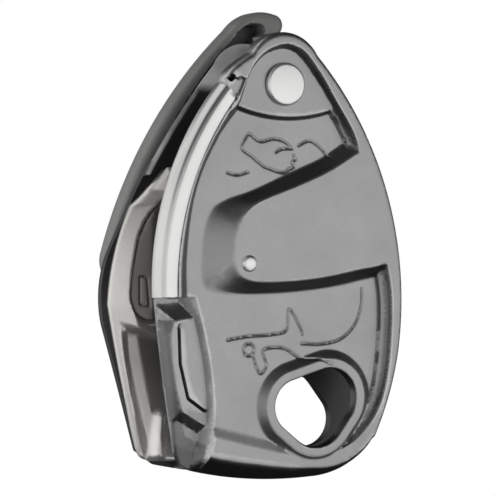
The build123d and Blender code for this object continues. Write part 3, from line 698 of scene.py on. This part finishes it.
def build_moving_plate():
    main_hole = circle(MAIN, 4.05, 64)
    loops = [spaced(outline, 0.55), spaced(eye, 0.5), main_hole]
    low = ridge[ridge[:, 1] < lip_foot[1]]
    features = [(pocket_top, True), (pocket_foot, True), (tongue_top, True), (tongue_foot, True),
                (land_step, False)]
    features += [(s, False) for s in strokes]
    features += [(hull(eye_circles, COLLAR_LAND), True), (hull(eye_circles, 5.0), True), (low, False),
                 (end_hole, True)]
    rails = [(hull(panel_circles, k), True) for k in (0, *GROOVE_WALLS)]
    rails += [(rib_line, False), (rib_line - [FACET_WIDTH, 0], False), (top_line, False)]
    rails += [(foot_line, False), (foot_line - [0, FACET_WIDTH], False)]
    rails += [(low, False), (low - [PANEL_DROP / SIDE_SLOPE, 0], False)]
    rails += [(level(pocket_foot, pocket_top, k), True) for k in (0, 0.06, 0.12, 0.32, 0.52, 0.7, 0.88, 0.96,
                                                                  1.05)]
    rails += [(level(tongue_foot, tongue_top, k), True) for k in (0, 0.1, 0.5, 0.9, 1)]
    step_line = np.array([(-43.6, lip_foot[1]), (-33.2, lip_foot[1])])
    piece = plate("moving_plate_shell", loops, marked_front, plate_back, "side_plate", anodised,
                  ["moving_side_plate"], step=0.75, lines=features, fine=0.3, reach=0.9,
                  rows=(0.06, 0.18, 0.36, 0.6, 0.9, 1.25), walls=[(step_line, False), (end_hole, True)],
                  rails=rails, back_rows=(2.25, 2.4))
    mark_edges(piece)
    places, height = flat_places(piece)
    on_flange = (ridge_offset(places) > -0.3) & (places[:, 1] < lip_foot[1])
    inner = ease((gap(places, outline) - 1.2) / 0.6) * ~on_flange
    lower = gap(places, lower_edge, closed=False) < 2.6
    # Painted shade through the shade attribute: steep walls, the lower wall, the flange's groove, outer facets
    # and bottom, and the small end hole are darkened.
    walls = steepness(piece) * np.maximum(inner, lower)
    top = flange_facets(places)[1]
    x, z = places.T
    painted_flange_shade = np.maximum(np.clip((along(rib_line, z, 1) - x) / 0.4, 0, 0.8) * (top < 0.1), flange_groove(places))
    out = -depth_in(places, panel_edge)
    painted_flange_shade = np.maximum(painted_flange_shade, 0.3 * ease((out - 0.6) / 0.4) * (z < 21))
    painted_flange_shade = np.maximum(painted_flange_shade, 0.85 * ease((-4.8 - 0.53 * (x + 35.6) - z) / 0.6)) * on_flange
    painted_flange_shade *= (ridge_offset(places) > 0.8) & (height < SKIRT - 0.7)
    mark(piece, np.maximum(np.maximum(walls, painted_flange_shade), within(places, end_hole)), "shade")


build_moving_plate()


# ---------------------------------------------------------------- wear strip and rivets

def swept(name, stations, body, material, replaced=(), sharp=40):
    """A solid through closed sections, each a ring of points."""
    stations = np.array(stations)
    count, ring = stations.shape[:2]
    faces = [list(range(ring)), [(count - 1) * ring + k for k in range(ring)][::-1]]
    for i in range(count - 1):
        for k in range(ring):
            n = (k + 1) % ring
            faces.append((i * ring + n, i * ring + k, (i + 1) * ring + k, (i + 1) * ring + n))
    return new_piece(name, stations.reshape(-1, 3), faces, body, material, replaced, sharp)


STRIP_CENTRE, STRIP_RADIUS = np.array([31.1, 31.3]), 76.2
STRIP_FRONT = -12.0
FOLD_WIDTH = 1.9
# The strip's outer face from its crease on, as widths past the crease and depths behind the front.
FOLD = [(-0.7, 0), (-0.4, 0.04), (-0.15, 0.10), (0, 0.16), (0.15, 0.20), (0.35, 0.26), (0.7, 0.5), (1.1, 0.9),
        (1.45, 1.5), (1.7, 2.2), (1.85, 2.7), (FOLD_WIDTH, 3.2)]


def build_wear_strip():
    """A folded strip: a flat front, a crease, and a side that rolls over the lip's outer edge."""
    front, foot = STRIP_FRONT, strip_high[1]
    stations = []
    steps = 90
    for i in range(steps):
        share = i / (steps - 1)
        angle = math.radians(182.5 - share * 42.4)
        out = np.array([math.cos(angle), math.sin(angle)])
        outer = STRIP_CENTRE + STRIP_RADIUS * out
        width = np.linalg.norm(outer - BAND_CENTRE) - BAND_RADIUS
        end = np.clip((share - 0.98) / 0.02, 0, 1)
        start = 0.4 * width * (1 - math.sqrt(max(1 - end ** 2, 0))) - 0.1
        crease = width - FOLD_WIDTH
        section = [(start, front + 0.75), (start, front + 0.3), (start + 0.1, front + 0.08), (start + 0.3, front)]
        section += [(crease + past, front + depth) for past, depth in FOLD]
        section += [(crease + FOLD_WIDTH, foot - 0.25), (crease + 1.8, foot - 0.05), (crease + 1.65, foot),
                    (crease + 1.15, foot), (crease + 1.15, front + 1.6), (crease + 0.6, front + 0.9)]
        ring = []
        for s_at, y in section:
            at = outer + out * (min(max(s_at, start), width) - width)
            ring.append((at[0], y, at[1]))
        stations.append(ring)
    swept("wear_strip_band", stations, "side_plate", bright_steel, ["wear_strip"], 50)


build_wear_strip()

head = rivet_low[1]
turned("main_rivet_body", [(0.01, head), (4.5, head), (4.75, head + 0.03), (4.97, head + 0.12),
                           (5.18, head + 0.3), (5.3, head + 0.5), (5.35, head + 0.7), (5.35, -10.1),
                           (4.0, -10.1), (4.0, 10.5), (6.0, 10.5), (6.0, 11.7),
                           (5.93, 12.02), (5.72, 12.26), (5.4, 12.38), (5.0, 12.4), (0.01, 12.4)],
       MAIN, "fixed_frame", rivet_steel, ["main_rivet"])
small_centre = (sum(corners("tongue_rivet")) / 2)[[0, 2]]
turned("tongue_rivet_body", [(0.01, -12.7), (1.1, -12.68), (1.55, -12.58), (1.86, -12.4), (2.02, -12.18),
                             (2.05, -12.0), (1.2, -12.0), (1.2, -6.9), (2.05, -6.9), (2.0, -6.5),
                             (1.6, -6.3), (0.01, -6.3)],
       small_centre, "side_plate", rivet_steel, ["tongue_rivet"], steps=48)


# ---------------------------------------------------------------- friction plate

friction_edge = np.vstack([
    arc((-33.0, 60.0), (-37.6, 54.4), (-41.8, 50.6)), arc((-41.8, 50.6), (-46.6, 37.0), (-48.1, 26.0)),
    arc((-48.1, 26.0), (-44.6, 8.0), (-40.2, -10.2)),
    flowing([(-40.2, -10.2), (-39.2, -12.0), (-36.8, -13.0)])[:-1],
    [(-36.8, -13.0), (-21.0, -13.6), (-21.0, 22.0), (-27.5, 30.0), (-27.5, 60.5)]])
window = softened([(-26, 22.5), (-38.5, 20.9), (-41.6, 23.2), (-42.9, 27.5), (-42.2, 35), (-40.6, 43),
                   (-38.4, 48), (-34, 52.5), (-26, 54)], 1.6)
insert_edge = softened([(-26.5, 23.2), (-38.3, 21.6), (-41.1, 23.7), (-42.3, 27.6), (-41.6, 35),
                        (-40.0, 42.8), (-37.9, 47.5), (-33.8, 51.8), (-26.5, 53.3)], 1.6)
trough = softened([(-19, 15.0), (-35.5, 18.1), (-43.6, 21.6), (-46.2, 22.6), (-44.6, 14), (-41.6, 0),
                   (-39.0, -11.6), (-36.6, -14.0), (-19, -14.4)], 1.2)
trough_floor = softened([(-20, 13.4), (-35.0, 16.2), (-42.4, 19.2), (-42.2, 13), (-40.0, 0), (-37.6, -11.6),
                         (-35.4, -15.5), (-20, -15.6)], 1.6)
BEAD_RADIUS = 2.7
bead = np.array([(-34.9, -11.2), (-34.2, -2.2)])
bead_edge = hull([(*end, BEAD_RADIUS) for end in bead])
left_side = friction_edge[(friction_edge[:, 0] < -37.5) & (friction_edge[:, 1] > -10.5)][::-1]
label_mark = softened([(-39.6, 25.8), (-37.4, 25.4), (-38.0, 32.6), (-39.6, 32.9)], 0.3)


def friction_front_surface(p):
    rim, floor = friction_low[1], friction_low[1] + 1.7
    x, z = p[:, 0], p[:, 1]
    from_side = x - np.interp(z, left_side[:, 1], left_side[:, 0])
    lean = 0.46 * np.maximum(5.8 - from_side, 0)
    surface = rim + lean + 1.5 * ease(between(p, trough, trough_floor), 0.3)
    surface = np.minimum(surface, floor + 0.8) - 1.5 * ease(1 - gap(p, bead, False) / BEAD_RADIUS, 0.45)
    inside = within(p, window)
    panel = rim + 0.5 + 0.42 * np.maximum(-36.5 - x, 0) + rounding(gap(p, insert_edge), 0.5)
    panel = panel + 0.22 * np.exp(-(gap(p, label_mark) / 0.16) ** 2)
    pocket = np.where(within(p, insert_edge), panel, floor + 0.6)
    surface = np.where(inside, pocket, surface + rounding(gap(p, window), 0.7))
    return surface + rounding(gap(p, friction_edge), 1.2) * 0.7


def build_friction_plate():
    loops = [spaced(friction_edge, 0.6)] + [circle(c, 1.5, 32) for c in ((-31.0, 5.9), (-24.4, -6.0),
                                                                         (-30.6, 56.6))]
    piece = plate("friction_plate_pressing", loops, friction_front_surface,
                  lambda p: np.full(len(p), friction_high[1]) - rounding(gap(p, friction_edge), 0.3),
                  "fixed_frame", satin_steel, ["friction_plate"], step=0.8,
                  lines=[(window, True), (trough, True), (label_mark, True), (bead, False),
                         (bead_edge, True)],
                  fine=0.35, reach=1.4,
                  rows=(0.1, 0.3, 0.6, 1.0, 1.5), walls=[(window, True), (insert_edge, True)],
                  back_rows=(0.3,))
    places, height = flat_places(piece)
    mark_edges(piece)
    # Painted shade through the shade attribute: the trough gets darker towards its top, and the insert panel in
    # the window is darkened.
    hollow = ease(between(places, trough, trough_floor)) * ease((gap(places, bead, False) - 1.6) / 1.0)
    hollow = hollow * np.interp(places[:, 1], (-6, 12), (0.0, 0.55))
    panel = within(places, insert_edge) * 0.95
    mark(piece, np.maximum(hollow, panel) * (height < friction_high[1] - 0.3), "shade")


build_friction_plate()


# ---------------------------------------------------------------- handle

handle_edge = np.vstack([
    arc((-46.2, 38.4), (-36.2, 63.4), (-11.6, 95.6), 40), arc((-11.6, 95.6), (-4.6, 100.1), (1.2, 99.9)),
    arc((1.2, 99.9), (3.6, 97.9), (2.4, 94.8)), arc((2.4, 94.8), (-6.4, 78.0), (3.2, 51.6), 30),
    circle(HUB, 17, 120)[[k % 120 for k in range(8, -62, -1)]],
    [(-24.0, 30.2), (-39.0, 30.0)], arc((-40.0, 30.0), (-44.8, 32.4), (-46.2, 38.4))])
channel = np.vstack([
    arc((-43.4, 38.6), (-33.6, 62.2), (-10.4, 94.0), 40), arc((-10.4, 94.0), (-6.0, 97.2), (-3.2, 97.3)),
    arc((-3.2, 97.3), (-2.0, 95.8), (-3.4, 93.4)), arc((-3.4, 93.4), (-9.2, 77.0), (-5.8, 59.8), 30),
    circle(HUB, 15.2, 120)[[k % 120 for k in range(24, 92, 1)]],
    [(-26.4, 49.0), (-27.2, 44.0), (-26.2, 38.0), (-24.0, 34.6), (-22.6, 33.2), (-39.0, 33.0)],
    arc((-39.6, 33.0), (-42.4, 34.6), (-43.4, 38.6))])
rib = arc((-38.6, 38.0), (-29.8, 60.0), (-12.0, 84.4), 40)


def handle_front_surface(p):
    top = handle_low[1]
    depth = 4.9 * ease(depth_in(p, channel) / 0.6, 0.25)
    wall = np.maximum(0.55 - gap(p, rib, False), 0) / 0.55
    depth = np.minimum(depth, 4.9 - 2.6 * np.minimum(wall * 1.8, 1))
    return top + depth + rounding(gap(p, handle_edge), 1.6)


def handle_back_surface(p):
    back = handle_high[1]
    edge = rounding(gap(p, handle_edge), 2.2)
    away = np.linalg.norm(p - HUB, axis=1)
    recess = np.where(away < 9.3, back - 16.7, rounding(away - 9.3, 0.8))
    ring = 0.5 * np.exp(-((away - 13.0) / 0.35) ** 2)
    x, z = p[:, 0], p[:, 1]
    dish = 1.3 * ease(depth_in(p, thumb_rest) / 3.5, 0.3)
    grip = sum(0.5 * np.exp(-(gap(p, line, False) / 0.5) ** 2) for line in grip_lines)
    return back - edge - recess - ring - dish - grip


thumb_rest = flowing([(-37, 52), (-28, 68), (-12, 88), (-2, 95), (0, 90), (-8, 76), (-18, 63), (-30, 50)],
                     True)
grip_lines = [np.array([(-9.0 + 2.6 * k, 96.2 - 1.1 * k),
                        (-5.2 + 2.4 * k, 90.4 - 0.2 * k)]) for k in range(4)]


def build_handle():
    loops = [spaced(handle_edge, 0.9), circle(HUB, 5.5, 48)]
    recess = circle(HUB, 9.3, 90)
    piece = plate("handle_moulding", loops, handle_front_surface, handle_back_surface, "handle", dark_nylon,
                  ["handle_lever"], step=1.0, lines=[(channel, True), (rib, False)], fine=0.4,
                  reach=1.5, rows=(0.1, 0.3, 0.6, 1.0, 1.5), back_step=1.0,
                  back_rows=(0.15, 0.5, 1.0, 1.6, 2.2),
                  back_walls=[(recess, True)])
    mark_edges(piece)
    places, height = flat_places(piece)
    # Painted shade: the deep channel is darkened almost to black through the shade attribute.
    mark(piece, ease(depth_in(places, channel) / 0.8) * (height < 18.6), "shade")


build_handle()


def knob_back(p):
    away = np.linalg.norm(p - HUB, axis=1)
    disc = knob_high[1] - 0.9 - rounding(9.0 - away, 0.6)
    bar = np.array([(HUB[0], HUB[1] - 6.0), (HUB[0], HUB[1] + 6.0)])
    lift = 0.9 * ease((2.3 - gap(p, bar, False)) / 0.9, 0.3)
    dot = 0.35 * np.exp(-(np.hypot(p[:, 0] - HUB[0] - 5.8, p[:, 1] - HUB[1]) / 0.7) ** 4)
    return disc + lift - dot


piece = plate("selector_knob_cap", [circle(HUB, 9.0, 96)], lambda p: np.full(len(p), knob_low[1]), knob_back,
              "selector", grey_nylon, ["selector_knob"], step=2.0, back_step=0.45,
              back_rows=(0.1, 0.3, 0.6))
mark(piece, np.zeros(len(piece.data.vertices)), "edge")


# ---------------------------------------------------------------- fixed side plate

fixed_edge = np.vstack([
    arc((-18.6, 86.0), (-10.0, 91.6), (-1.0, 86.0)), arc((-1.0, 86.0), (15.8, 61.8), (22.8, 17), 40),
    arc((22.8, 17), (23.7, 5), (20.8, -5.4)), arc((20.8, -5.4), (13.2, -13.6), (0, -16.4)),
    arc((0, -16.4), (-17, -16.6), (-35.0, -14.0)), [(-35.0, -14.0)],
    arc((-40.0, -10.4), (-44.6, 6.0), (-48.9, 20.9)),
    arc((-48.9, 20.9), (-49.6, 29.5), (-47.6, 38.6)), [(-47.6, 38.6)],
    arc((-41.1, 52.2), (-31.6, 68.6), (-18.6, 86.0))])
seat = np.array([(-27.5, 60.5), (-27.5, 30), (-21, 22), (-21, -13.6), (-30, -13.6), (-30, -20), (-60, -20),
                 (-60, 58), (-37, 58), (-33, 60.0)])
set_back = np.array([(-60, 61.5), (-27, 61.5), (-25, 59.5), (-25, 31), (-18.5, 23), (-18.5, -30), (-60, -30)])
fixed_eye = hull([(-5.2, 0.7, 6.7), (2.5, 0.0, 8.4), (7.4, -3.9, 6.9), (-0.2, -1.1, 8.4)])


def slot_about_hub(radius, half, first, last):
    """Outline of a curved slot about the cam pivot, between two angles in degrees."""
    sweep = np.radians(np.linspace(first, last, 30))
    ends = []
    for angle, turn in ((last, 0), (first, 180)):
        middle = HUB + radius * np.array([math.cos(math.radians(angle)), math.sin(math.radians(angle))])
        t = np.radians(np.linspace(angle + turn, angle + turn + 180, 9)[1:-1])
        ends.append(middle + half * np.c_[np.cos(t), np.sin(t)])
    way = np.c_[np.cos(sweep), np.sin(sweep)]
    return np.vstack([HUB + (radius + half) * way, ends[0], HUB + (radius - half) * way[::-1], ends[1]])


def fixed_front(p):
    upper = ease((p[:, 1] - 77) / 5) * (p[:, 0] < -6)
    shoulder = np.maximum(rounding(gap(p, fixed_edge), 0.7),
                          upper * 0.42 * np.maximum(4.6 - gap(p, fixed_edge), 0))
    return np.where(within(p, seat), 10.5, 8.0 + shoulder)


def fixed_back(p):
    deep = within(p, set_back)
    return np.where(deep, fixed_high[1], 10.5) - rounding(gap(p, fixed_edge), 0.8) * np.where(deep, 1.0, 0.4)


def build_fixed_plate():
    stop_pin = [(low + high) / 2 / MM for low, high in zip(*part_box("cam_stop_pin"))]
    holes = [circle(MAIN, 4.02, 48), circle(HUB, 4.02, 48), circle((stop_pin[0], stop_pin[2]), 1.52, 24),
             slot_about_hub(12.0, 2.0, 30, 130)]
    piece = plate("fixed_plate_shell", [spaced(fixed_edge, 0.7), spaced(fixed_eye, 0.6)] + holes, fixed_front,
                  fixed_back, "fixed_frame", shade_painted_alloy, ["fixed_side_plate"], step=1.3,
                  rows=(0.12, 0.4, 0.8, 1.4, 2.1), walls=[(seat, True)], back_rows=(0.12, 0.4, 0.8),
                  back_walls=[(set_back, True)])
    places, height = flat_places(piece)
    # Painted light: the top left of the plate near its edge, and a thin line along the edge, are brightened
    # through the edge attribute.
    painted_lit_zone = ease((8 - gap(places, fixed_edge)) / 4) * ease((places[:, 1] - 77) / 5) * (places[:, 0] < 0)
    painted_edge_highlight = 0.6 * (gap(places, fixed_edge) < 0.5)
    mark(piece, np.maximum(painted_lit_zone, painted_edge_highlight) * (height < 10.4), "edge")


build_fixed_plate()


# ---------------------------------------------------------------- pieces that keep their CAD shape

def eased(name, node, body, material, width):
    """A copy of a CAD node with its sharp edges rounded off."""
    mesh = frame["nodes"][node].data.copy()
    net = bmesh.new()
    net.from_mesh(mesh)
    bmesh.ops.remove_doubles(net, verts=net.verts, dist=2e-6)
    bmesh.ops.dissolve_limit(net, angle_limit=math.radians(0.6), verts=net.verts, edges=net.edges)
    corners_found = [e for e in net.edges if len(e.link_faces) == 2 and e.calc_face_angle(0) > math.radians(35)]
    bmesh.ops.bevel(net, geom=corners_found, offset=width * MM, segments=3, profile=0.6, affect="EDGES",
                    clamp_overlap=True, loop_slide=True)
    bmesh.ops.triangulate(net, faces=[f for f in net.faces if len(f.verts) > 4])
    net.to_mesh(mesh)
    net.free()
    mesh.materials.clear()
    mesh.materials.append(material)
    mesh.shade_smooth()
    mesh.set_sharp_from_angle(angle=math.radians(35))
    piece = bpy.data.objects.new(name, mesh)
    bpy.context.scene.collection.objects.link(piece)
    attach(piece, body)
    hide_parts(node)
    return piece


eased("cam_casting", "cam", "cam_group", cam_steel, 0.6)

finishes = {
    "friction_plate_rivets": ground_steel, "spacer_sleeve": ground_steel, "cam_axle": ground_steel,
    "cam_stop_pin": ground_steel, "cam_release_pin": ground_steel, "handle_drive_pin": ground_steel,
    "axle_retaining_ring": spring_wire, "handle_return_spring": spring_wire, "cam_return_spring": spring_wire,
    "selector_spring_washer": spring_wire, "guide_pad": natural_nylon, "pivot_washer": natural_nylon,
    "hub_washer": natural_nylon, "cam_spacer": natural_nylon, "cam_bush": bronze, "hub_bush": bronze}
for node, material in finishes.items():
    item = frame["nodes"][node]
    item.data.materials.clear()
    item.data.materials.append(material)


# ---------------------------------------------------------------- camera, lights and stage

TARGET = Vector((-13.13, 2.0, 39.91)) * MM
AZIMUTH = math.radians(-28.5)
DISTANCE = 0.65


def look_from(azimuth, elevation, distance):
    """A place at an angle round the target. Azimuth 0 looks along +Y."""
    level = math.cos(elevation)
    return TARGET + distance * Vector((math.sin(azimuth) * level, -math.cos(azimuth) * level,
                                       math.sin(elevation)))


def add_camera():
    data = bpy.data.cameras.new("camera")
    data.sensor_width = 36
    data.lens = 2600 / 496 * 36
    camera = bpy.data.objects.new("camera", data)
    bpy.context.scene.collection.objects.link(camera)
    camera.location = look_from(AZIMUTH, 0, DISTANCE)
    camera.rotation_euler = (TARGET - camera.location).to_track_quat("-Z", "Y").to_euler()
    bpy.context.scene.camera = camera


def add_light(name, azimuth, elevation, distance, width, height, radiance):
    """A soft box. Its radiance is what a mirror turned to it would show, with 1 as white."""
    data = bpy.data.lights.new(name, "AREA")
    data.shape = "RECTANGLE"
    data.size, data.size_y = width, height
    data.energy = radiance * math.pi * width * height
    light = bpy.data.objects.new(name, data)
    bpy.context.scene.collection.objects.link(light)
    light.location = look_from(math.radians(azimuth), math.radians(elevation), distance)
    light.rotation_euler = (TARGET - light.location).to_track_quat("-Z", "Y").to_euler()
    light.visible_camera = False


def staging(name, vertices, faces, strength):
    """A pale surface that glows evenly for the camera and gives the object no light."""
    mesh = bpy.data.meshes.new(name)
    mesh.from_pydata(vertices, [], faces)
    item = bpy.data.objects.new(name, mesh)
    bpy.context.scene.collection.objects.link(item)
    material, tree, surface, add = shader(name, (0.0, 0.0, 0.0), 0.0, 1.0)
    surface.inputs["Specular IOR Level"].default_value = 0.0
    surface.inputs["Emission Color"].default_value = (1, 1, 1, 1)
    surface.inputs["Emission Strength"].default_value = strength
    mesh.materials.append(material)
    for ray in ("glossy", "diffuse", "transmission", "shadow"):
        setattr(item, "visible_" + ray, False)


def add_stage():
    ground = float(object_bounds()[0][2])
    reach, sides = 12, 24
    rim = [(reach * math.cos(t), reach * math.sin(t)) for t in np.linspace(0, 2 * math.pi, sides,
                                                                           endpoint=False)]
    staging("floor", [(x, y, ground) for x, y in rim], [list(range(sides))], 1.0)
    shell = [(x * c, y * c, ground + reach * h) for h,
             c in ((0, 1), (0.5, 0.87), (0.87, 0.5), (1, 0.02)) for x, y in rim]
    faces = [(r * sides + k, r * sides + (k + 1) % sides, (r + 1) * sides + (k + 1) % sides,
              (r + 1) * sides + k)
             for r in range(3) for k in range(sides)]
    staging("backdrop", shell, faces, 1.0)
    world = bpy.data.worlds.new("studio")
    bpy.context.scene.world = world
    world.use_nodes = True
    world.node_tree.nodes["Background"].inputs["Color"].default_value = (0.02, 0.02, 0.02, 1)


add_camera()
add_light("key", 22, -1, 0.80, 1.00, 0.52, 1.20)
add_light("front_left", -34, 0, 0.85, 0.66, 0.60, 0.78)
add_light("right_edge", 68, -3, 0.80, 0.22, 0.55, 1.0)
add_light("left", -88, 0, 0.65, 0.80, 0.80, 0.95)
add_light("back_left", -142, 8, 0.70, 0.60, 0.80, 0.8)
add_light("upper_left", -95, 55, 0.70, 0.70, 0.55, 0.85)
add_light("low", 20, -36, 0.80, 0.70, 0.22, 1.2)
add_stage()
bpy.context.scene.view_settings.view_transform = "Standard"
